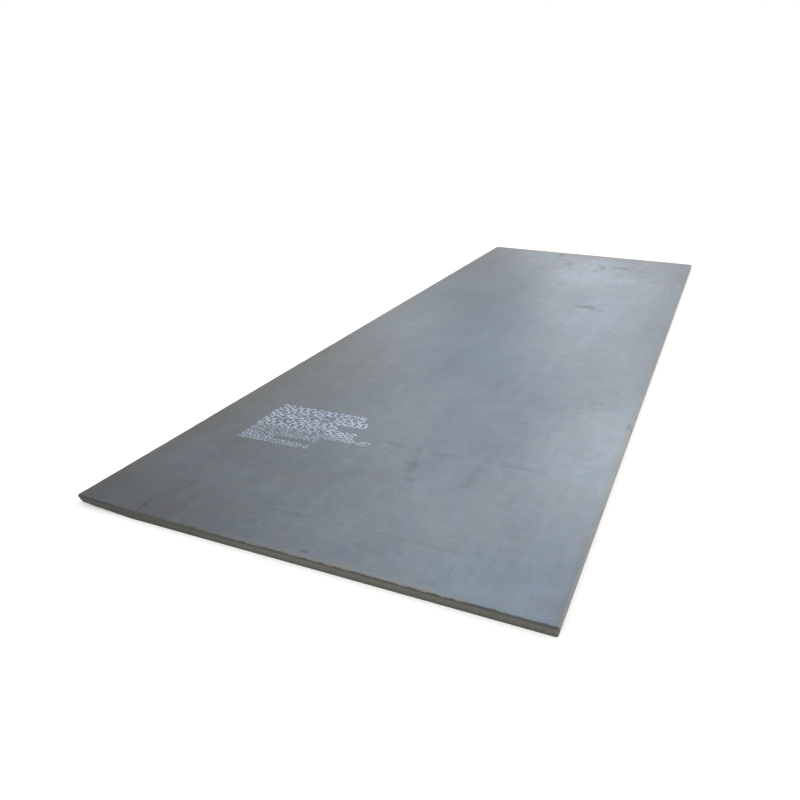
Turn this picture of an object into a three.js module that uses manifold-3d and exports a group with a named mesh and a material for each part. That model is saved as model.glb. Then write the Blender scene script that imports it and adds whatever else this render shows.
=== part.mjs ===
// Hot-rolled steel plate, trimmed on all four sides with plate shears.
//
// One rolled slab: flat faces above and below, and an edge all round that keeps the section a shear
// leaves. The blade drags the top face down into the cut (rollover), then slices a smooth upright band
// (burnish), and below that the steel tears away and runs back under the plate (fracture) to the
// underside's arris. Each cut goes straight across, so two cuts mitre at a corner. Handling has knocked
// the corners blunt, and the lower side of the near left one has torn away.
//
// Millimetres. X runs across the plate, Y along it in the rolling direction, Z up. The origin is the
// middle of the underside, and the plate lies flat on it.

import * as THREE from "three";
import { mergeVertices } from "three/addons/utils/BufferGeometryUtils.js";
import Module from "manifold-3d";

// The plate.
const WIDTH = 2000;
const LENGTH = 6000;
const THICKNESS = 38;

// How far each corner is knocked blunt. Near is the end where y is negative, left where x is negative.
const NEAR_LEFT_RADIUS = 25;
const NEAR_RIGHT_RADIUS = 12;
const FAR_LEFT_RADIUS = 20;
const FAR_RIGHT_RADIUS = 30;

// The section of a sheared edge. Depths and heights are along Z, runs are back from the face of the cut.
const ROLLOVER_DEPTH = 2.5;
const ROLLOVER_RUN = 7;
const BURNISH_HEIGHT = 11;
const FRACTURE_RUN = 2;
const ARRIS_RADIUS = 1.2;

// The torn near left corner: a long shallow tear under the near end, and a short steep one at the tip.
// Each is a flat cut, given by how far from the corner it meets the near end's foot, the left side's foot
// and the corner's upright line.
const SHALLOW_TEAR_RUN = 300;
const SHALLOW_TEAR_REACH = 60;
const SHALLOW_TEAR_HEIGHT = 19;
const STEEP_TEAR_RUN = 60;
const STEEP_TEAR_REACH = 60;
const STEEP_TEAR_HEIGHT = 44;

// The finish: dull blue-grey mill scale.
const SCALE_COLOUR = 0x7d878d;
const SCALE_ROUGHNESS = 0.5;
const SCALE_METALNESS = 0.7;

const CURVE_STEPS = 10; // straight steps in each curve of an outline
const OVERRUN = 50; // how far a section is extruded past the plate, so that the next cut trims it

// One sheared edge of a section, from the top face down to the underside, on the side where x is
// positive. The face of the cut stands at half the span.
function shearedEdge(span) {
  const cutFace = span / 2;
  const burnishTop = THICKNESS - ROLLOVER_DEPTH;
  const burnishFoot = burnishTop - BURNISH_HEIGHT;
  const tearThird = (burnishFoot - ARRIS_RADIUS) / 3;
  const rollover = new THREE.EllipseCurve(
    cutFace - ROLLOVER_RUN,
    burnishTop,
    ROLLOVER_RUN,
    ROLLOVER_DEPTH,
    Math.PI / 2,
    0,
    true,
  );
  const tear = new THREE.CubicBezierCurve(
    new THREE.Vector2(cutFace, burnishFoot),
    new THREE.Vector2(cutFace, burnishFoot - tearThird),
    new THREE.Vector2(cutFace - FRACTURE_RUN, ARRIS_RADIUS + tearThird),
    new THREE.Vector2(cutFace - FRACTURE_RUN, ARRIS_RADIUS),
  );
  const arris = new THREE.EllipseCurve(
    cutFace - FRACTURE_RUN - ARRIS_RADIUS,
    ARRIS_RADIUS,
    ARRIS_RADIUS,
    ARRIS_RADIUS,
    0,
    -Math.PI / 2,
    true,
  );
  return [rollover, tear, arris].flatMap((curve) => curve.getPoints(CURVE_STEPS));
}

// The plate's section across a span: the sheared edge on the right, and its mirror image on the left.
function plateSection(span) {
  const right = shearedEdge(span);
  const left = right.map((p) => new THREE.Vector2(-p.x, p.y)).reverse();
  return new THREE.Shape([...right, ...left]);
}

// A section drawn in x and z, extruded the given length and centred along y.
function extrudeAlongY(section, length) {
  return new THREE.ExtrudeGeometry(section, { depth: length, bevelEnabled: false })
    .translate(0, 0, -length / 2)
    .rotateX(Math.PI / 2);
}

// The plate's outline from above, a rectangle with blunted corners, anticlockwise from the far right.
function outlineShape() {
  const outline = new THREE.Shape();
  const corners = [
    [1, 1, FAR_RIGHT_RADIUS],
    [-1, 1, FAR_LEFT_RADIUS],
    [-1, -1, NEAR_LEFT_RADIUS],
    [1, -1, NEAR_RIGHT_RADIUS],
  ];
  corners.forEach(([right, far, radius], i) => {
    const x = right * (WIDTH / 2 - radius);
    const y = far * (LENGTH / 2 - radius);
    outline.absarc(x, y, radius, (i * Math.PI) / 2, ((i + 1) * Math.PI) / 2);
  });
  return outline;
}

const wasm = await Module();
wasm.setup();

// A three.js geometry as a manifold-3d solid.
function solidFrom(geometry) {
  const bare = new THREE.BufferGeometry().setAttribute("position", geometry.getAttribute("position"));
  if (geometry.index) bare.setIndex(geometry.index);
  const merged = mergeVertices(bare);
  return new wasm.Manifold(
    new wasm.Mesh({
      numProp: 3,
      vertProperties: new Float32Array(merged.getAttribute("position").array),
      triVerts: new Uint32Array(merged.index.array),
    }),
  );
}

// A manifold-3d solid as a three.js geometry.
function geometryFrom(solid) {
  const mesh = solid.getMesh();
  const geometry = new THREE.BufferGeometry()
    .setAttribute("position", new THREE.BufferAttribute(mesh.vertProperties, 3))
    .setIndex(new THREE.BufferAttribute(mesh.triVerts, 1))
    .toNonIndexed();
  geometry.computeVertexNormals();
  return geometry;
}

// A solid without what lies below a slanted plane at the near left corner of the plate.
function tearCorner(solid, run, reach, height) {
  const normal = new THREE.Vector3(1 / run, 1 / reach, 1 / height);
  const corner = new THREE.Vector3(-WIDTH / 2, -LENGTH / 2, 0);
  const offset = (1 + normal.dot(corner)) / normal.length();
  return solid.trimByPlane(normal.toArray(), offset);
}

// The two long sides are cut first, then the two ends. The corners are blunted, and one is torn, last.
function plateGeometry() {
  const sidesCut = extrudeAlongY(plateSection(WIDTH), LENGTH + OVERRUN);
  const endsCut = extrudeAlongY(plateSection(LENGTH), WIDTH + OVERRUN).rotateZ(Math.PI / 2);
  const cornersBlunted = new THREE.ExtrudeGeometry(outlineShape(), {
    depth: THICKNESS + OVERRUN,
    bevelEnabled: false,
    curveSegments: CURVE_STEPS,
  }).translate(0, 0, -OVERRUN / 2);
  const whole = solidFrom(sidesCut)
    .intersect(solidFrom(endsCut))
    .intersect(solidFrom(cornersBlunted));
  const scarred = tearCorner(whole, SHALLOW_TEAR_RUN, SHALLOW_TEAR_REACH, SHALLOW_TEAR_HEIGHT);
  return geometryFrom(tearCorner(scarred, STEEP_TEAR_RUN, STEEP_TEAR_REACH, STEEP_TEAR_HEIGHT));
}

const millScale = new THREE.MeshStandardMaterial({
  name: "mill_scale",
  color: SCALE_COLOUR,
  roughness: SCALE_ROUGHNESS,
  metalness: SCALE_METALNESS,
});

const plate = new THREE.Mesh(plateGeometry(), millScale);
plate.name = "steel_plate";

const part = new THREE.Group();
part.add(plate);

export default part;
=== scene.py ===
"""Looks of a hot-rolled steel plate with sheared edges, dressed over its CAD model.

The plate is one closed mesh: a slightly uneven top face, a flat underside, and round its edge the
rollover, burnished band and torn band that plate shears leave. Rows of plain figures are sprayed on
the top face in white dots. It lies on a pale floor in soft studio light. Metres, in the CAD frame.
"""

import math
import random

import bpy
from mathutils import Euler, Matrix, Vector, noise


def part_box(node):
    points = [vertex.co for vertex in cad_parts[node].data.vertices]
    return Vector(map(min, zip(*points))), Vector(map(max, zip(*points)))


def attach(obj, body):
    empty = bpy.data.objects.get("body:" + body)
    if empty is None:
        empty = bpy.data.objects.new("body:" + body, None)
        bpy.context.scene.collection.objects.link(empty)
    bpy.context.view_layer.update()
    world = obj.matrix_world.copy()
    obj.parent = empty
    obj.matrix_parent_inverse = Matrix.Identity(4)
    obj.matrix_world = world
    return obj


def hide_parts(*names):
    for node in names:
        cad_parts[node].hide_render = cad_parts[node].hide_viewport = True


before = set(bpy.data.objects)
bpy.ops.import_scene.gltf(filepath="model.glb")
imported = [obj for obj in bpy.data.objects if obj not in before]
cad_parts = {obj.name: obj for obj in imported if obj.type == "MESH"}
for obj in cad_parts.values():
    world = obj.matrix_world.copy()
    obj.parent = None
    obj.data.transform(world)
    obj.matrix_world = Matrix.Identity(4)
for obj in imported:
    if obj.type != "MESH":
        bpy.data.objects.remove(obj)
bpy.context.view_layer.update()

# ---------------------------------------------------------------------------------------------
# Sizes, in metres
# ---------------------------------------------------------------------------------------------

HALF_WIDTH, HALF_LENGTH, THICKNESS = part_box("steel_plate")[1]
FAR_RIGHT_RADIUS = 0.030
FAR_LEFT_RADIUS = 0.020
NEAR_LEFT_RADIUS = 0.025
NEAR_RIGHT_RADIUS = 0.012

# The section that the shear leaves, as in the CAD model.
ROLLOVER_DEPTH = 0.0025
ROLLOVER_RUN = 0.007
BURNISH_HEIGHT = 0.011
FRACTURE_RUN = 0.002
ARRIS_RADIUS = 0.0012
BURNISH_TOP = THICKNESS - ROLLOVER_DEPTH
BURNISH_FOOT = BURNISH_TOP - BURNISH_HEIGHT

# The two tears under the near left corner: how far from the corner each meets the near end's foot,
# the left side's foot and the corner's upright line.
TEARS = [(0.300, 0.060, 0.019), (0.060, 0.060, 0.044)]
TEAR_UNEVENNESS = 0.0015
TEAR_RIM = 0.004  # up to this height the torn surface grows from smooth to uneven

# The mesh: square cells inside a border, and round the border a ring of finely spaced sections.
CELL = 0.025
UNDERSIDE_CELL = 0.1
BORDER = 0.05
STATION_GAP = 0.00625
RING_RUN = 0.011  # how far in from the outline each section starts and ends
RELEASE_RUN = 0.0095  # how far in the flat top still reaches
TIGHTEST = 0.001  # the least radius of a corner of the inner ring
CORNER_STEPS = 8
ROLLOVER_STEPS = 5
BURNISH_SHARES = (0.2, 0.5, 0.8)
FRACTURE_STEPS = 8
ARRIS_STEPS = 3

# Unevenness.
SAG = 0.0006  # the most that the top face dips
FOOT_WAVER = 0.003  # how far the foot of the burnished band wanders up and down
ROUGHNESS = 0.0006  # how rough the torn band is
HOLLOW = 0.0008  # how far the torn band falls back where a larger piece broke away
BURNISH_GRAIN = 0.00008  # how rough the burnished band is

# Nicks along the top edge.
NICKS = 120
NICK_SEED = 7
NICK_HALF_WIDTH = (0.006, 0.025)
NICK_DEPTH = (0.0006, 0.0030)

CAMERA_PLACE = (1.2847, -4.9728, 1.5981)
CAMERA_TURN = (67.671, -0.824, 23.462)
CAMERA_LENS = 34.005
CAMERA_SENSOR = 36
CAMERA_REACH = 1000

# The flat layout for baking: for each part a strip of the square, as its start and its height.
UV_NAME = "OFBake"
UV_MARGIN = 0.003
TOP_STRIP = (0.003, 0.620)
UNDERSIDE_STRIP = (0.635, 0.185)
RIGHT_STRIP = (0.830, 0.046)
LEFT_STRIP = (0.886, 0.046)
END_STRIP = (0.942, 0.046)
END_SHARE = 0.49  # how much of its strip each end takes up
FAR_END_START = 0.505
NEAR_END_START = 0.005


def wander(x, y, z, size):
    """Noise from -1 to 1 whose features are about size metres across."""
    return noise.noise(Vector((x, y, z)) / size)


# ---------------------------------------------------------------------------------------------
# The plate's mesh
# ---------------------------------------------------------------------------------------------


def top_height(x, y):
    """The height of the uneven top face at a place."""
    dip = 0.6 + 0.4 * wander(x, y, 3.1, 0.9) + 0.2 * wander(x, y, 8.7, 0.25)
    return THICKNESS - SAG * min(max(dip, 0.2), 1)


def section():
    """The sheared edge from the top face to the underside, as (run inwards, height, zone)."""
    points = [(RING_RUN, THICKNESS, "top"), (RELEASE_RUN, THICKNESS, "top")]
    for i in range(ROLLOVER_STEPS + 1):
        turn = math.pi / 2 * i / ROLLOVER_STEPS
        run = ROLLOVER_RUN * (1 - math.sin(turn))
        points.append((run, BURNISH_TOP + ROLLOVER_DEPTH * math.cos(turn), "rollover"))
    points += [(0, BURNISH_TOP - BURNISH_HEIGHT * share, "burnish") for share in BURNISH_SHARES]
    for i in range(FRACTURE_STEPS + 1):
        share = i / FRACTURE_STEPS
        run = FRACTURE_RUN * share * share * (3 - 2 * share)
        points.append((run, BURNISH_FOOT + (ARRIS_RADIUS - BURNISH_FOOT) * share, "fracture"))
    for i in range(1, ARRIS_STEPS + 1):
        turn = math.pi / 2 * i / ARRIS_STEPS
        run = FRACTURE_RUN + ARRIS_RADIUS * (1 - math.cos(turn))
        points.append((run, ARRIS_RADIUS * (1 - math.sin(turn)), "arris"))
    points.append((RING_RUN, 0, "underside"))
    return points


def foot_height(x, y):
    """The height of the plate's underside at a place: 0, or the torn surface at the near left."""
    across, along = x + HALF_WIDTH, y + HALF_LENGTH
    height = max(up * (1 - across / run - along / reach) for run, reach, up in TEARS)
    if height <= 0:
        return 0
    rough = wander(x, y, 7.7, 0.018) + 0.5 * wander(x, y, 2.9, 0.006)
    return max(height + TEAR_UNEVENNESS * rough * min(1, height / TEAR_RIM), 0)


def ring(inset):
    """Stations that far in from the plate's outline, anticlockwise from above, as (place, outward
    normal), and for each of the four sides the numbers of its first and last station inside the
    border corners. The numbers are the same for every inset."""
    stations, sides = [], []
    radii = [FAR_RIGHT_RADIUS, FAR_LEFT_RADIUS, NEAR_LEFT_RADIUS, NEAR_RIGHT_RADIUS]
    for number, radius in enumerate(radii):
        outward = Vector((math.cos(number * math.pi / 2), math.sin(number * math.pi / 2)))
        along = Vector((-outward.y, outward.x))
        reach = abs(outward.x) * HALF_WIDTH + abs(outward.y) * HALF_LENGTH
        half = abs(along.x) * HALF_WIDTH + abs(along.y) * HALF_LENGTH
        middle = outward * (reach - inset)
        inner = half - BORDER
        steps = round(2 * inner / STATION_GAP)
        sides.append((len(stations), len(stations) + steps))
        for i in range(steps + 1):
            stations.append((middle + along * inner * (2 * i / steps - 1), outward))

        leads = round((BORDER - radius) / STATION_GAP)
        tightened = max(radius, inset + TIGHTEST)
        centre = outward * (reach - tightened) + along * (half - tightened)
        for i in range(1, leads):
            share = i / leads
            stations.append((middle + along * (inner + (BORDER - tightened) * share), outward))
        for i in range(CORNER_STEPS + 1):
            turn = math.pi / 2 * (number + i / CORNER_STEPS)
            normal = Vector((math.cos(turn), math.sin(turn)))
            stations.append((centre + normal * (tightened - inset), normal))
        for i in range(leads - 1, 0, -1):
            back = tightened + (BORDER - tightened) * (leads - i) / leads
            corner = outward * reach + along * (half - inset)
            stations.append((corner - outward * back, along))
    return stations, sides


def nicks(places):
    """Places on the top edge where something has knocked it, as (place, half width, depth)."""
    draw = random.Random(NICK_SEED)
    return [
        (draw.choice(places), draw.uniform(*NICK_HALF_WIDTH), draw.uniform(*NICK_DEPTH))
        for _ in range(NICKS)
    ]


def knocked(place, knocks):
    """How far the nicks knock the top edge in at a station."""
    return sum(
        depth * math.exp(-((place - at).length / half) ** 2)
        for at, half, depth in knocks
        if (place - at).length < 3 * half
    )


def sheared(place, inner_place, knock, run, height, zone):
    """One point of the section at one station, with the roughness of a real cut."""
    x, y = place
    swell = 1 + 0.22 * wander(x, y, 1.3, 0.22) + 0.18 * wander(x, y, 4.4, 0.05)
    if zone == "rollover":
        run *= swell
        height = THICKNESS - (THICKNESS - height) * swell
        height -= knock * (THICKNESS - height) / ROLLOVER_DEPTH * 0.6
        run += knock * (THICKNESS - height) / ROLLOVER_DEPTH * 0.5
    elif zone == "burnish":
        below = (BURNISH_TOP - height) / BURNISH_HEIGHT
        height += FOOT_WAVER * below * wander(x, y, 6.2, 0.07)
        run += knock * (1 - below) * 0.5 + BURNISH_GRAIN * (1 + wander(x, y, height, 0.01))
    elif zone == "fracture":
        down = 1 - height / BURNISH_FOOT
        height += FOOT_WAVER * (1 - down) * wander(x, y, 6.2, 0.07)
        rough = wander(x, y, 3 * height, 0.014) + 0.6 * wander(x, y, 2 * height, 0.0055)
        run += ROUGHNESS * min(1, 4 * down) * (0.9 + rough) * 0.6
        run += HOLLOW * min(1, 3 * down) * max(0, wander(x, y, 9.3, 0.11))
    elif zone == "arris":
        run += ROUGHNESS * 0.5 * (1 + wander(x, y, 0.5, 0.012))
    point = place.lerp(inner_place, run / RING_RUN)
    foot = foot_height(*point)
    height = foot + height * (1 - foot / THICKNESS)
    height -= (THICKNESS - top_height(*point)) * height / THICKNESS
    return point.x, point.y, height


def grid_places(cell):
    """The x and y values of the square cells inside the border."""
    inner_width, inner_length = HALF_WIDTH - BORDER, HALF_LENGTH - BORDER
    columns, rows = round(2 * inner_width / cell), round(2 * inner_length / cell)
    xs = [inner_width * (2 * i / columns - 1) for i in range(columns + 1)]
    ys = [inner_length * (2 * i / rows - 1) for i in range(rows + 1)]
    return xs, ys


def add_grid(points, faces, cell, height_at, facing):
    """Adds the cells of one broad face, and returns the point numbers round their border: four
    lists, one for each side in the order of ring()."""
    xs, ys = grid_places(cell)
    first = len(points)
    points += [(x, y, height_at(x, y)) for y in ys for x in xs]

    def number(column, row):
        return first + row * len(xs) + column

    for row in range(len(ys) - 1):
        for column in range(len(xs) - 1):
            face = [
                number(column, row),
                number(column + 1, row),
                number(column + 1, row + 1),
                number(column, row + 1),
            ]
            faces.append(face[::facing])
    last_column, last_row = len(xs) - 1, len(ys) - 1
    return [
        [number(last_column, row) for row in range(len(ys))],
        [number(column, last_row) for column in reversed(range(len(xs)))],
        [number(0, row) for row in reversed(range(len(ys)))],
        [number(column, 0) for column in range(len(xs))],
    ]


def add_border(faces, edges, sides, station_count, ring_number, facing):
    """Joins a grid's border to the ring of stations, one many-sided face for each cell."""
    for side, (edge, (first, last)) in enumerate(zip(edges, sides)):
        per_cell = (last - first) // (len(edge) - 1)
        for i in range(len(edge) - 1):
            start = first + i * per_cell
            outer = [ring_number(start + step) for step in range(per_cell + 1)]
            faces.append(([edge[i + 1], edge[i]] + outer)[::facing])
        next_first = sides[(side + 1) % 4][0] or station_count
        outer = [ring_number(s % station_count) for s in range(last, next_first + 1)]
        faces.append(([edge[-1]] + outer)[::facing])


def plate_mesh():
    """The whole plate as points, faces and the zone of each face."""
    stations, sides = ring(0)
    places = [place for place, _ in stations]
    inner_places = [place for place, _ in ring(RING_RUN)[0]]
    profile = section()
    knocks = nicks(places)
    points = []
    for place, inner_place in zip(places, inner_places):
        knock = knocked(place, knocks)
        points += [sheared(place, inner_place, knock, *point) for point in profile]
    depth = len(profile)
    faces, zones = [], []
    for s in range(len(places)):
        t = (s + 1) % len(places)
        for k in range(depth - 1):
            faces.append([s * depth + k, s * depth + k + 1, t * depth + k + 1, t * depth + k])
            zones.append(profile[k + 1][2])

    def add_broad_face(cell, height_at, ring_point, facing, zone):
        edges = add_grid(points, faces, cell, height_at, facing)
        add_border(faces, edges, sides, len(places), lambda s: s * depth + ring_point, facing)
        zones.extend([zone] * (len(faces) - len(zones)))

    add_broad_face(CELL, top_height, 0, 1, "top")
    add_broad_face(UNDERSIDE_CELL, foot_height, depth - 1, -1, "underside")
    for number, face in enumerate(faces):
        if zones[number] == "underside" and max(points[corner][2] for corner in face) > 0:
            zones[number] = "torn"
    return points, faces, zones


def lay_out(mesh, zones):
    """Gives the mesh a flat layout for baking: the two broad faces and the four cut sides apart."""
    layer = mesh.uv_layers.new(name=UV_NAME)
    for face, zone in zip(mesh.polygons, zones):
        middle = face.center
        lengthwise = abs(middle.x) / HALF_WIDTH > abs(middle.y) / HALF_LENGTH
        for corner in face.loop_indices:
            x, y, z = mesh.vertices[mesh.loops[corner].vertex_index].co
            across = x / (2 * HALF_WIDTH) + 0.5
            down = 1 - z / THICKNESS
            u = y / (2 * HALF_LENGTH) + 0.5
            if zone == "top":
                strip, share = TOP_STRIP, across
            elif zone in ("underside", "torn"):
                strip, share = UNDERSIDE_STRIP, across
            elif lengthwise:
                strip, share = RIGHT_STRIP if middle.x > 0 else LEFT_STRIP, down
            else:
                strip, share = END_STRIP, down
                u = across * END_SHARE + (FAR_END_START if middle.y > 0 else NEAR_END_START)
            start, height = strip
            layer.uv[corner].vector = (UV_MARGIN + (1 - 2 * UV_MARGIN) * u, start + height * share)


def make_plate(scale_finish, cut_finish):
    """The plate as one closed mesh, with scale on its broad faces and bare steel where it is cut."""
    points, faces, zones = plate_mesh()
    mesh = bpy.data.meshes.new("rolled_plate")
    mesh.from_pydata(points, [], faces)
    mesh.materials.append(scale_finish)
    mesh.materials.append(cut_finish)
    for face, zone in zip(mesh.polygons, zones):
        face.use_smooth = True
        face.material_index = int(zone in ("burnish", "fracture", "arris", "torn"))
    lay_out(mesh, zones)
    mesh.validate()
    plate = bpy.data.objects.new("rolled_plate", mesh)
    bpy.context.scene.collection.objects.link(plate)
    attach(plate, "root")
    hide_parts("steel_plate")


# ---------------------------------------------------------------------------------------------
# Finishes
# ---------------------------------------------------------------------------------------------


class Nodes:
    """Makes and links the nodes of one material or world."""

    def __init__(self, owner):
        owner.use_nodes = True
        self.tree = owner.node_tree
        self.tree.nodes.clear()

    def add(self, kind, **settings):
        node = self.tree.nodes.new("ShaderNode" + kind)
        for name, value in settings.items():
            setattr(node, name, value)
        return node

    def feed(self, socket, value):
        """Links a socket, or sets it where the value is plain."""
        if isinstance(value, bpy.types.NodeSocket):
            self.tree.links.new(value, socket)
        else:
            socket.default_value = value

    def math(self, operation, *values):
        """A sum, product or other working of plain or linked numbers."""
        node = self.add("Math", operation=operation)
        for socket, value in zip(node.inputs, values):
            self.feed(socket, value)
        return node.outputs[0]

    def stretch(self, vector, factors):
        """The vector times factors: a small factor draws a pattern out along that axis."""
        node = self.add("VectorMath", operation="MULTIPLY")
        self.feed(node.inputs[0], vector)
        self.feed(node.inputs[1], factors)
        return node.outputs[0]

    def noise(self, vector, size, detail=3.0, roughness=0.5, distortion=0.0):
        """Noise from 0 to 1 whose features are about size metres across."""
        node = self.add("TexNoise")
        self.feed(node.inputs["Vector"], vector)
        node.inputs["Scale"].default_value = 1 / size
        node.inputs["Detail"].default_value = detail
        node.inputs["Roughness"].default_value = roughness
        node.inputs["Distortion"].default_value = distortion
        return node.outputs[0]

    def ramp(self, value, low, high, to_low=0.0, to_high=1.0):
        """A smooth step from to_low at low to to_high at high."""
        node = self.add("MapRange", interpolation_type="SMOOTHSTEP")
        for socket, number in zip(node.inputs, (value, low, high, to_low, to_high)):
            self.feed(socket, number)
        return node.outputs[0]

    def mix(self, factor, first, second, blend="MIX"):
        """The first colour going over to the second as the factor goes from 0 to 1."""
        node = self.add("Mix", data_type="RGBA", blend_type=blend)
        self.feed(node.inputs[0], factor)
        self.feed(node.inputs[6], first)
        self.feed(node.inputs[7], second)
        return node.outputs[2]

    def multiply(self, factor, colour, tint):
        """The colour going over to colour times tint as the factor goes from 0 to 1."""
        return self.mix(factor, colour, tint, "MULTIPLY")

    def place(self):
        """The place on the object in metres: the vector, and its x, y and z."""
        vector = self.add("TexCoord").outputs["Object"]
        parts = self.add("SeparateXYZ")
        self.feed(parts.inputs[0], vector)
        return vector, *parts.outputs

    def bump(self, height, distance, normal=None):
        """Relief as deep as distance, laid over an earlier bump's normal if there is one."""
        node = self.add("Bump")
        self.feed(node.inputs["Height"], height)
        node.inputs["Strength"].default_value = 1.0
        node.inputs["Distance"].default_value = distance
        if normal is not None:
            self.feed(node.inputs["Normal"], normal)
        return node.outputs[0]

    def surface(self, colour, roughness, metallic, normal):
        """The material's shader and output."""
        shader = self.add("BsdfPrincipled")
        self.feed(shader.inputs["Base Color"], colour)
        self.feed(shader.inputs["Roughness"], roughness)
        shader.inputs["Metallic"].default_value = metallic
        self.feed(shader.inputs["Normal"], normal)
        output = self.add("OutputMaterial")
        self.feed(output.inputs["Surface"], shader.outputs[0])


def grey(value):
    return (value, value, value, 1)


BLACK = grey(0.0)

# Colours of the mill scale.
SCALE_DARK = (0.162, 0.199, 0.240, 1)
SCALE_LIGHT = (0.241, 0.287, 0.334, 1)
SCALE_WARM = (0.243, 0.226, 0.226, 1)
SCALE_COOL = (0.190, 0.248, 0.262, 1)
DULL_TINT = (0.86, 0.82, 0.84, 1)
STAIN_TINT = (0.99, 0.885, 0.765, 1)
# the rim's colour: rubbed lighter, and towards the right a painted highlight
RUBBED_AND_LIT_SCALE = (0.330, 0.345, 0.350, 1)
WORN_SCALE = (0.360, 0.340, 0.320, 1)
# painted shade of the rollover along the near end
ROLLOVER_SHADE = (0.058, 0.062, 0.061, 1)
SCALE_METALLIC = 0.7

# Colours of the sheared edge.
BURNISH_DARK = (0.085, 0.087, 0.079, 1)
BURNISH_LIGHT = (0.125, 0.123, 0.112, 1)
# painted shade along the top of the cut
CUT_TOP_SHADE = (0.045, 0.047, 0.044, 1)
FRACTURE_DARK = (0.110, 0.108, 0.091, 1)
FRACTURE_LIGHT = (0.168, 0.164, 0.140, 1)
# painted shade at the foot of the cut
FOOT_SHADE = (0.078, 0.076, 0.060, 1)
SOIL = (0.050, 0.053, 0.041, 1)
TIP_SOIL = (0.035, 0.039, 0.029, 1)
RUST = (0.165, 0.098, 0.058, 1)
CUT_METALLIC = 0.35

# Colours of the marking paint.
PAINT_FRESH = (0.66, 0.75, 0.90, 1)
PAINT_WORN = (0.41, 0.49, 0.62, 1)
PAINT_FADED_TINT = (0.76, 0.80, 0.86, 1)

# Handling marks on the top face: middle, half length, half width, turn in degrees, strength.
MARKS = [
    ((0.142, -2.110), 0.165, 0.030, 98, 0.11),
    ((0.150, -2.180), 0.110, 0.042, 92, 0.18),
    ((0.122, -2.012), 0.060, 0.018, 100, 0.16),
    ((0.436, -2.140), 0.140, 0.048, 92, 0.12),
    ((0.425, -2.255), 0.085, 0.030, 88, 0.09),
    ((0.255, -2.002), 0.145, 0.020, 8, 0.14),
    ((0.000, -2.000), 0.115, 0.024, -9, 0.22),
    ((0.565, -1.986), 0.190, 0.019, 0, 0.13),
    ((0.182, -2.298), 0.050, 0.018, 0, 0.20),
    ((0.540, -2.270), 0.040, 0.018, 0, 0.15),
    ((0.300, -2.735), 0.450, 0.010, 0, 0.10),
    ((-0.100, -2.750), 0.230, 0.014, 1, 0.15),
    ((-0.628, -2.705), 0.042, 0.024, 60, 0.23),
    ((-0.697, -2.945), 0.040, 0.014, 90, 0.40),
    ((-0.699, -2.880), 0.090, 0.013, 91, 0.12),
    ((0.056, -2.960), 0.022, 0.016, 0, 0.36),
    ((0.556, -2.945), 0.026, 0.014, 0, 0.10),
    ((0.980, -1.310), 0.060, 0.016, 90, 0.28),
    ((0.360, -1.430), 0.130, 0.080, 60, 0.07),
    ((0.310, 0.905), 0.075, 0.070, 0, 0.42),
    ((0.375, 0.925), 0.060, 0.080, 0, 0.52),
    ((0.440, 0.860), 0.090, 0.050, -35, 0.27),
    ((-0.019, 0.836), 0.080, 0.035, 90, 0.22),
    ((-0.485, 0.880), 0.110, 0.060, 5, 0.20),
    ((-0.265, 2.850), 0.150, 0.040, 95, 0.48),
    ((-0.110, 2.480), 0.130, 0.040, 97, 0.42),
    ((0.225, 2.410), 0.150, 0.042, 97, 0.50),
    ((0.180, 2.280), 0.120, 0.034, 95, 0.32),
    ((0.400, 2.480), 0.160, 0.090, 0, 0.44),
    ((0.620, 2.440), 0.140, 0.060, 0, 0.20),
]
# Broad darker and lighter areas, partly the scale's own tone and partly painted reflection and
# shade: middle, half length, half width, turn in degrees, tint.
TONE_AND_SHEEN_AREAS = [
    # painted shade over the near left corner
    ((-1.0, -3.0), 1.30, 0.50, 0, (0.66, 0.62, 0.59, 1)),
    ((1.0, -3.0), 0.75, 0.13, 90, (0.94, 0.91, 0.93, 1)),
    ((-0.9, -2.40), 1.30, 0.60, 0, (0.84, 0.82, 0.80, 1)),
    ((0.85, -3.0), 0.45, 0.70, 0, (0.89, 0.95, 0.99, 1)),
    ((-0.95, -1.4), 1.50, 0.85, 90, (0.84, 0.80, 0.75, 1)),
    # painted highlight along the right side
    ((1.0, -1.65), 1.05, 0.48, 90, (1.27, 1.26, 1.26, 1)),
    ((0.32, -1.30), 1.30, 0.42, 90, (0.80, 0.84, 0.91, 1)),
    ((-0.15, -0.20), 1.25, 0.60, 90, (0.66, 0.75, 0.85, 1)),
    ((0.45, 0.85), 1.30, 0.42, 90, (1.10, 1.14, 1.20, 1)),
    ((1.0, 0.90), 2.20, 0.28, 90, (0.80, 0.80, 0.83, 1)),
    ((-0.25, 0.50), 1.00, 0.45, 90, (0.76, 0.83, 0.90, 1)),
    ((0.05, -0.90), 0.90, 0.40, 90, (0.85, 0.89, 0.94, 1)),
    ((-0.60, 1.25), 1.80, 0.72, 90, (0.47, 0.55, 0.60, 1)),
    ((1.05, 3.0), 1.90, 0.60, 90, (0.66, 0.67, 0.72, 1)),
    ((-1.0, 2.35), 1.30, 0.60, 90, (0.48, 0.52, 0.56, 1)),
    ((0.10, 2.60), 0.80, 0.30, 80, (1.10, 1.09, 1.10, 1)),
    ((0.12, 2.05), 1.00, 0.52, 85, (1.21, 1.21, 1.23, 1)),
    ((0.22, 1.94), 0.52, 0.34, 0, (1.15, 1.15, 1.18, 1)),
    ((0.66, 1.97), 0.28, 0.34, 0, (1.08, 1.09, 1.12, 1)),
    ((-0.44, 2.10), 0.55, 0.11, 97, (1.11, 1.09, 1.09, 1)),
]
# How far staining creeps in from the left side, the right side, the near end and the far end.
CREEP = (0.16, 0.04, 0.03, 0.24)
UNSTAINED = 10.0  # a number of those reaches that is well clear of the staining


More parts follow.
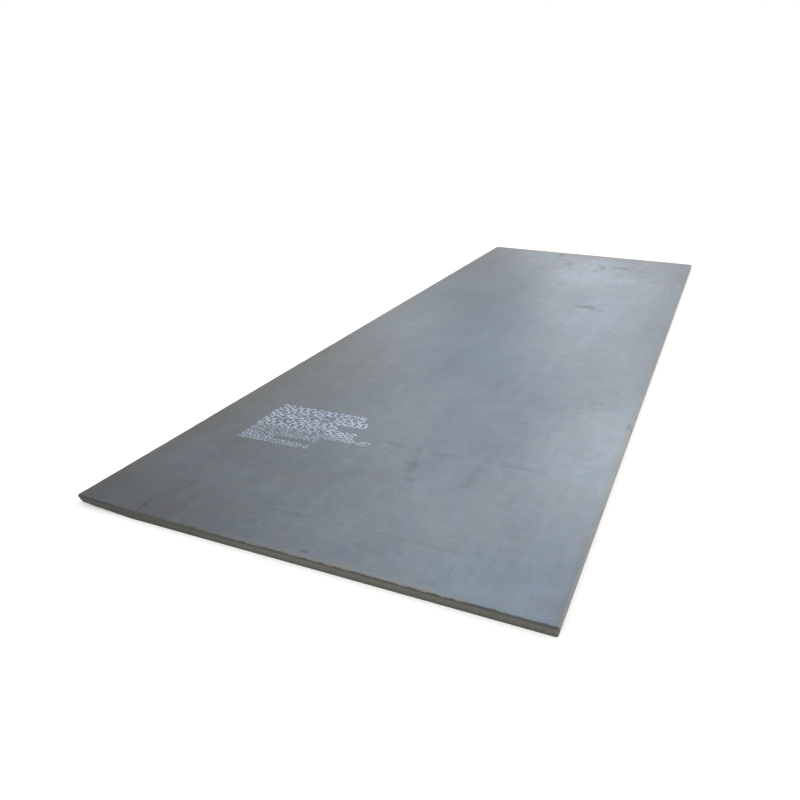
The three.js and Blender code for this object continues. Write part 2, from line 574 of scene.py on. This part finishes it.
def area(nodes, vector, place, half_length, half_width, turn, strength=1.0):
    """A mask that fades from strength at the middle of an oval area to 0 at its rim."""
    local = nodes.add("Mapping", vector_type="TEXTURE")
    nodes.feed(local.inputs["Vector"], vector)
    local.inputs["Location"].default_value = (*place, THICKNESS)
    local.inputs["Rotation"].default_value = (0, 0, math.radians(turn))
    local.inputs["Scale"].default_value = (half_length, half_width, 1)
    distance = nodes.add("VectorMath", operation="LENGTH")
    nodes.feed(distance.inputs[0], local.outputs[0])
    return nodes.ramp(distance.outputs["Value"], 0.2, 1.0, strength, 0.0)


def top_stains_and_sheen(nodes, vector, x, y, blotches, colour):
    """Adds the broad areas of tone and painted reflection and shade, the staining that crept in from
    the edges, and the dark marks.
    """
    # the broad areas: the scale's own tone, with painted reflection and shade
    for *shape, tint in TONE_AND_SHEEN_AREAS:
        colour = nodes.multiply(area(nodes, vector, *shape), colour, tint)

    distances = (
        nodes.math("ADD", x, HALF_WIDTH),
        nodes.math("SUBTRACT", HALF_WIDTH, x),
        nodes.math("ADD", y, HALF_LENGTH),
        nodes.math("SUBTRACT", HALF_LENGTH, y),
    )
    crept = UNSTAINED
    for distance, reach in zip(distances, CREEP):
        crept = nodes.math("MINIMUM", nodes.math("DIVIDE", distance, reach), crept)
    crept = nodes.math("MULTIPLY_ADD", blotches, -1.6, nodes.math("ADD", crept, 0.8))
    stain = nodes.ramp(crept, 0.0, 1.0, 1.0, 0.0)
    colour = nodes.multiply(stain, colour, STAIN_TINT)

    total = 0.0
    for *shape, strength in MARKS:
        total = nodes.math("ADD", area(nodes, vector, *shape, strength), total)
    breakup = nodes.ramp(nodes.noise(vector, 0.02, 4.0, 0.65), 0.3, 0.55)
    return nodes.multiply(nodes.math("MULTIPLY", total, breakup), colour, BLACK)


def scale_colour(nodes, vector, y, blotches, mottle, grain):
    """The colour of the scale itself: mottled and streaked, with warm, cool and dull patches."""
    clouds = nodes.noise(vector, 0.6, 3.0, 0.5, 0.3)
    patches = nodes.noise(vector, 0.16, 3.0, 0.55, 0.4)
    streaks = nodes.noise(nodes.stretch(vector, (1, 0.12, 1)), 0.06, 4.0, 0.6)
    tone = nodes.math("MULTIPLY", clouds, 0.20)
    layers = ((patches, 0.18), (streaks, 0.22), (blotches, 0.30), (mottle, 0.30), (grain, 0.16))
    for layer, share in layers:
        tone = nodes.math("MULTIPLY_ADD", layer, share, tone)
    colour = nodes.mix(nodes.ramp(tone, 0.49, 0.87), SCALE_DARK, SCALE_LIGHT)

    warm = nodes.ramp(nodes.noise(vector, 0.12, 4.0, 0.6, 0.6), 0.46, 0.72, 0.0, 0.38)
    colour = nodes.mix(warm, colour, SCALE_WARM)
    cool = nodes.noise(nodes.stretch(vector, (1, 0.6, 1)), 0.08, 4.0, 0.6, 0.4)
    colour = nodes.mix(nodes.ramp(cool, 0.5, 0.72, 0.0, 0.35), colour, SCALE_COOL)
    flecks = nodes.ramp(nodes.noise(vector, 0.03, 2.0, 0.5), 0.68, 0.78, 0.0, 0.15)
    colour = nodes.multiply(flecks, colour, BLACK)
    dull = nodes.noise(nodes.stretch(vector, (1, 0.45, 1)), 0.16, 4.0, 0.6, 0.8)
    dull = nodes.ramp(dull, 0.48, 0.66, 0.0, 0.9)
    dull = nodes.math("MULTIPLY", dull, nodes.ramp(y, 0.4, 2.2))
    return nodes.multiply(dull, colour, DULL_TINT)


def rubbed_and_lit_rim(nodes, x, y, blotches, colour):
    """Adds the rim that is rubbed lighter all round, with a painted highlight that grows more and
    more towards the right.
    """
    from_side = nodes.math("SUBTRACT", HALF_WIDTH, nodes.math("ABSOLUTE", x))
    from_end = nodes.math("SUBTRACT", HALF_LENGTH, nodes.math("ABSOLUTE", y))
    inwards = nodes.math("MINIMUM", from_side, from_end)
    ragged = nodes.math("MULTIPLY_ADD", blotches, 0.02, inwards)
    # painted highlight: the lightening grows towards the right side
    most = nodes.ramp(x, -0.7, 0.2, 0.0, 0.52)
    return nodes.mix(nodes.ramp(ragged, 0.004, 0.022, most, 0.0), colour, RUBBED_AND_LIT_SCALE)


def near_edge_lines(nodes, vector, x, y, colour):
    """Adds, along the near end, a dark line of painted shade where the scale rolls over into the cut
    and, just inside it, a lighter worn strip. Towards the left and right corners the line lies
    further in and the strip fades out."""
    wavy = nodes.noise(vector, 0.035, 4.0, 0.65)
    from_near = nodes.math("ADD", y, HALF_LENGTH)
    from_near = nodes.math("SUBTRACT", from_near, nodes.ramp(x, -1.0, -0.7, 0.014, 0.0))
    from_near = nodes.math("SUBTRACT", from_near, nodes.ramp(x, 0.62, 0.78, 0.0, 0.004))
    ragged = nodes.math("MULTIPLY_ADD", wavy, 0.02, from_near)
    most = nodes.math("MULTIPLY", nodes.ramp(x, -0.6, 0.0), nodes.ramp(x, 0.55, 0.75, 0.20, 0.0))
    worn = nodes.ramp(ragged, 0.026, 0.045, most, 0.0)
    colour = nodes.mix(worn, colour, WORN_SCALE)
    # painted shade of the rollover: the dark line along the near end
    darkest = nodes.ramp(x, 0.6, 0.8, 0.90, 0.80)
    rolled = nodes.ramp(ragged, 0.009, 0.0155, darkest, 0.0)
    return nodes.mix(rolled, colour, ROLLOVER_SHADE)


def mill_scale():
    """Blue-grey oxide from the rolling mill, browner where damp has crept in from the edges, and
    worn where the shears have cut it. Over it lie broad areas of painted reflection and shade, a
    painted highlight growing towards the right rim, and painted shade where the shears rolled it
    over."""
    material = bpy.data.materials.new("mill_scale")
    nodes = Nodes(material)
    vector, x, y, _ = nodes.place()
    blotches = nodes.noise(vector, 0.055, 5.0, 0.62, 0.5)
    mottle = nodes.noise(vector, 0.018, 4.0, 0.62, 0.3)
    grain = nodes.noise(vector, 0.005, 3.0, 0.6)
    colour = scale_colour(nodes, vector, y, blotches, mottle, grain)
    colour = top_stains_and_sheen(nodes, vector, x, y, blotches, colour)
    colour = rubbed_and_lit_rim(nodes, x, y, blotches, colour)
    colour = near_edge_lines(nodes, vector, x, y, colour)
    roughness = nodes.ramp(mottle, 0.3, 0.7, 0.34, 0.42)
    normal = nodes.bump(mottle, 0.0003, nodes.bump(grain, 0.0001))
    nodes.surface(colour, roughness, SCALE_METALLIC, normal)
    return material


def burnished_band(nodes, film, x, z):
    """The colour of the upper band, with painted shade along its top that lies deeper towards the
    left.
    """
    colour = nodes.mix(film, BURNISH_DARK, BURNISH_LIGHT)
    # painted shade along the top of the cut, lying deeper towards the left
    deeper = nodes.ramp(x, -0.75, 0.2, 0.010, 0.0)
    top_shade = nodes.math("MULTIPLY_ADD", film, 0.008, nodes.math("ADD", z, deeper))
    top_shade = nodes.ramp(top_shade, BURNISH_TOP - 0.002, BURNISH_TOP + 0.002, 0.0, 0.90)
    return nodes.mix(top_shade, colour, CUT_TOP_SHADE)


def cut_soil_and_foot_shade(nodes, vector, film, x, z, colour):
    """Adds painted shade at the foot, the soil that thickens towards the near left corner, and the
    rust.
    """
    # painted shade, darker towards the bottom of the cut
    low = nodes.ramp(nodes.math("MULTIPLY_ADD", film, 0.010, z), 0.008, 0.026, 0.60, 0.0)
    colour = nodes.mix(low, colour, FOOT_SHADE)
    soiled = nodes.ramp(nodes.math("MULTIPLY_ADD", film, 0.3, x), -0.50, 0.15, 0.66, 0.0)
    colour = nodes.mix(soiled, colour, SOIL)
    colour = nodes.mix(nodes.ramp(x, -0.95, -0.55, 0.55, 0.0), colour, TIP_SOIL)
    rust = nodes.ramp(nodes.noise(vector, 0.030, 5.0, 0.6, 0.3), 0.56, 0.72, 0.0, 0.5)
    return nodes.mix(rust, colour, RUST)


def sheared_edge():
    """Bare cut steel gone dull: a smoother band under the rollover, and below it a torn band filmed
    with olive-brown rust, darker towards the near left corner. Painted shade darkens the top of the
    smoother band and the foot of the cut."""
    material = bpy.data.materials.new("sheared_edge")
    nodes = Nodes(material)
    vector, x, _, z = nodes.place()
    tears = nodes.noise(nodes.stretch(vector, (1, 1, 0.35)), 0.008, 4.0, 0.6)
    film = nodes.noise(vector, 0.06, 5.0, 0.6, 0.3)
    foot = nodes.math("MULTIPLY_ADD", tears, 0.006, z)
    torn = nodes.ramp(foot, BURNISH_FOOT + 0.001, BURNISH_FOOT + 0.006, 1.0, 0.0)
    fractured = nodes.mix(nodes.ramp(tears, 0.2, 0.8), FRACTURE_DARK, FRACTURE_LIGHT)
    colour = nodes.mix(torn, burnished_band(nodes, film, x, z), fractured)
    colour = cut_soil_and_foot_shade(nodes, vector, film, x, z, colour)
    roughness = nodes.ramp(torn, 0, 1, 0.30, 0.60)
    nodes.surface(colour, roughness, CUT_METALLIC, nodes.bump(tears, 0.0002))
    return material


def marking_paint():
    """Thin white marking paint, worn until the scale shows through."""
    material = bpy.data.materials.new("marking_paint")
    nodes = Nodes(material)
    vector, x, *_ = nodes.place()
    worn = nodes.ramp(nodes.noise(vector, 0.012, 5.0, 0.65), 0.48, 0.72)
    colour = nodes.mix(worn, PAINT_FRESH, PAINT_WORN)
    fading = nodes.ramp(x, -0.38, -0.31, 1.0, 0.0)
    colour = nodes.multiply(fading, colour, PAINT_FADED_TINT)
    nodes.surface(colour, 0.55, 0.0, nodes.bump(nodes.noise(vector, 0.003), 0.0001))
    return material


# ---------------------------------------------------------------------------------------------
# Sprayed figures
# ---------------------------------------------------------------------------------------------

# Five columns by seven rows of dots, the top row first.
FIGURES = {
    "0": ("01110", "10001", "10001", "10001", "10001", "10001", "01110"),
    "2": ("01110", "10001", "00001", "00110", "01000", "10000", "11111"),
    "3": ("01110", "10001", "00001", "00110", "00001", "10001", "01110"),
    "5": ("11111", "10000", "11110", "00001", "00001", "10001", "01110"),
    "6": ("00110", "01000", "10000", "11110", "10001", "10001", "01110"),
    "7": ("11111", "00001", "00010", "00100", "01000", "01000", "01000"),
    "8": ("01110", "10001", "10001", "01110", "10001", "10001", "01110"),
    "-": ("00000", "00000", "00000", "11111", "00000", "00000", "00000"),
}
MIDDLE_DOT_ROW = 3
# The dots' pitch across and along, and the figures' pitch.
LARGE = (0.0071, 0.0088, 0.0409)
SMALL = (0.0036, 0.0061, 0.0209)
# The plate's thickness in millimetres, width and length in centimetres and weight in kilograms.
# Each row: the figures, the y of its middle, and their size.
ROWS = [
    ("382006003575", -1.824, LARGE),
    ("6003575-38200", -1.892, LARGE),
    ("3575382006", -1.957, LARGE),
    ("2006003575382", -2.024, LARGE),
    ("38-200-600-3575-38-200-600-357", -2.078, SMALL),
    ("3575-38-2006003575", -2.127, SMALL),
    ("20060-35", -2.170, SMALL),
    ("3820060035753820-6", -2.211, SMALL),
]
ROWS_LEFT = -0.739
ROWS_SLOPE = 0.03
DOT_SIDES = 8
DOT_SPREAD = 0.77  # a dot's radius as a share of the pitch across
DOT_SIZES = (0.75, 1.1)
DOT_SCATTER = 0.07  # how far dots land off their places, as a share of the pitch
DOTS_MISSED = 0.07  # the share of dots that the sprayer misses
DOT_SEED = 11
PAINT_THICKNESS = 0.00012
PAINT_SINK = 0.00004  # how far a dot's rim reaches below the scale
CROWN_SHARE = 0.86  # the flat top of a dot as a share of its radius


def add_dot(points, faces, x, y, radius, turn):
    """A thin disc of paint whose rim tapers down into the scale."""
    first = len(points)
    for spread, lift in ((1.0, -PAINT_SINK), (CROWN_SHARE, PAINT_THICKNESS)):
        for i in range(DOT_SIDES):
            angle = turn + 2 * math.pi * i / DOT_SIDES
            px = x + radius * spread * math.cos(angle)
            py = y + radius * spread * math.sin(angle)
            points.append((px, py, top_height(x, y) + lift))
    rim = list(range(first, first + DOT_SIDES))
    crown = [number + DOT_SIDES for number in rim]
    faces.append(rim[::-1])
    faces.append(crown)
    for i in range(DOT_SIDES):
        j = (i + 1) % DOT_SIDES
        faces.append([rim[i], rim[j], crown[j], crown[i]])


def make_figures(finish):
    """All the rows of sprayed figures as one mesh of dots."""
    draw = random.Random(DOT_SEED)
    points, faces = [], []
    for text, row_y, (across, along, pitch) in ROWS:
        for place, figure in enumerate(text):
            left = ROWS_LEFT + place * pitch
            for row, dots in enumerate(FIGURES[figure]):
                for column, dot in enumerate(dots):
                    if dot == "0" or draw.random() < DOTS_MISSED:
                        continue
                    x = left + column * across + draw.gauss(0, DOT_SCATTER) * across
                    y = row_y + (MIDDLE_DOT_ROW - row) * along + draw.gauss(0, DOT_SCATTER) * along
                    y += ROWS_SLOPE * (x - ROWS_LEFT)
                    size = DOT_SPREAD * across * draw.uniform(*DOT_SIZES)
                    add_dot(points, faces, x, y, size, draw.uniform(0, math.pi))
    mesh = bpy.data.meshes.new("sprayed_figures")
    mesh.from_pydata(points, [], faces)
    mesh.materials.append(finish)
    figures = bpy.data.objects.new("sprayed_figures", mesh)
    bpy.context.scene.collection.objects.link(figures)
    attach(figures, "root")


# ---------------------------------------------------------------------------------------------
# Studio
# ---------------------------------------------------------------------------------------------

# The walls of soft light round the plate: degrees to the left of its length, and the brightness.
# Below them the studio is white, and above them is the ceiling.
WALLS = [(-180, 0.9), (-60, 1.0), (8, 1.55), (38, 0.6), (52, 0.45), (75, 0.8), (180, 0.9)]
CEILING = 0.8
# Sines of the elevations between which one light blends into the next.
WHITE_TO_WALLS = (0.22, 0.26)
WALLS_TO_CEILING = (0.75, 0.95)
FLOOR_REACH = 400.0
FLOOR_DROP = 0.0005  # how far below the plate the floor lies
FLOOR_ALBEDO = 0.92
FLOOR_LIFT = 0.36  # what the floor adds, to what looks at it, so that it shows white


def make_floor():
    """A pale floor that shows white where nothing shades it."""
    material = bpy.data.materials.new("floor_white")
    nodes = Nodes(material)
    matte = nodes.add("BsdfDiffuse")
    matte.inputs["Color"].default_value = grey(FLOOR_ALBEDO)
    seen = nodes.add("LightPath").outputs
    shows = nodes.math("MAXIMUM", seen["Is Camera Ray"], seen["Is Glossy Ray"])
    shows = nodes.math("MAXIMUM", shows, seen["Is Transmission Ray"])
    lift = nodes.add("Emission")
    nodes.feed(lift.inputs["Strength"], nodes.math("MULTIPLY", shows, FLOOR_LIFT))
    both = nodes.add("AddShader")
    nodes.feed(both.inputs[0], matte.outputs[0])
    nodes.feed(both.inputs[1], lift.outputs[0])
    output = nodes.add("OutputMaterial")
    nodes.feed(output.inputs["Surface"], both.outputs[0])
    mesh = bpy.data.meshes.new("floor")
    corners = [(-1, -1), (1, -1), (1, 1), (-1, 1)]
    corners = [(FLOOR_REACH * x, FLOOR_REACH * y, 0) for x, y in corners]
    mesh.from_pydata(corners, [], [(0, 1, 2, 3)])
    mesh.materials.append(material)
    floor = bpy.data.objects.new("floor", mesh)
    floor.location.z = -FLOOR_DROP
    bpy.context.scene.collection.objects.link(floor)


def walls_of_light(nodes, share):
    """The colour of the walls at a share of the full turn."""
    ramp = nodes.add("ValToRGB")
    nodes.feed(ramp.inputs[0], share)
    ramp.color_ramp.interpolation = "EASE"
    stops = ramp.color_ramp.elements
    stops.remove(stops[1])
    for number, (degrees, brightness) in enumerate(WALLS):
        place = (degrees + 180) / 360
        stop = stops.new(place) if number else stops[0]
        stop.position = place
        stop.color = grey(brightness)
    return ramp.outputs[0]


def make_studio():
    """The world: white low down, then the walls of light, then the ceiling."""
    world = bpy.data.worlds.new("studio")
    bpy.context.scene.world = world
    nodes = Nodes(world)
    direction = nodes.add("TexCoord").outputs["Generated"]
    parts = nodes.add("SeparateXYZ")
    nodes.feed(parts.inputs[0], direction)
    leftwards = nodes.math("MULTIPLY", parts.outputs[0], -1.0)
    azimuth = nodes.math("ARCTAN2", leftwards, parts.outputs[1])
    share = nodes.math("MULTIPLY_ADD", azimuth, 1 / (2 * math.pi), 0.5)
    layers = [(WHITE_TO_WALLS, walls_of_light(nodes, share)), (WALLS_TO_CEILING, grey(CEILING))]
    light = grey(1.0)
    for (low, high), layer in layers:
        light = nodes.mix(nodes.ramp(parts.outputs[2], low, high), light, layer)
    background = nodes.add("Background")
    nodes.feed(background.inputs["Color"], light)
    output = nodes.add("OutputWorld")
    nodes.feed(output.inputs["Surface"], background.outputs[0])


def make_camera():
    """The camera at the photograph's viewing angle."""
    data = bpy.data.cameras.new("camera")
    data.lens = CAMERA_LENS
    data.sensor_width = CAMERA_SENSOR
    data.clip_end = CAMERA_REACH
    camera = bpy.data.objects.new("camera", data)
    camera.location = CAMERA_PLACE
    camera.rotation_euler = Euler([math.radians(turn) for turn in CAMERA_TURN])
    bpy.context.scene.collection.objects.link(camera)
    bpy.context.scene.camera = camera


make_plate(mill_scale(), sheared_edge())
make_figures(marking_paint())
make_floor()
make_studio()
make_camera()
bpy.context.scene.view_settings.view_transform = "Standard"
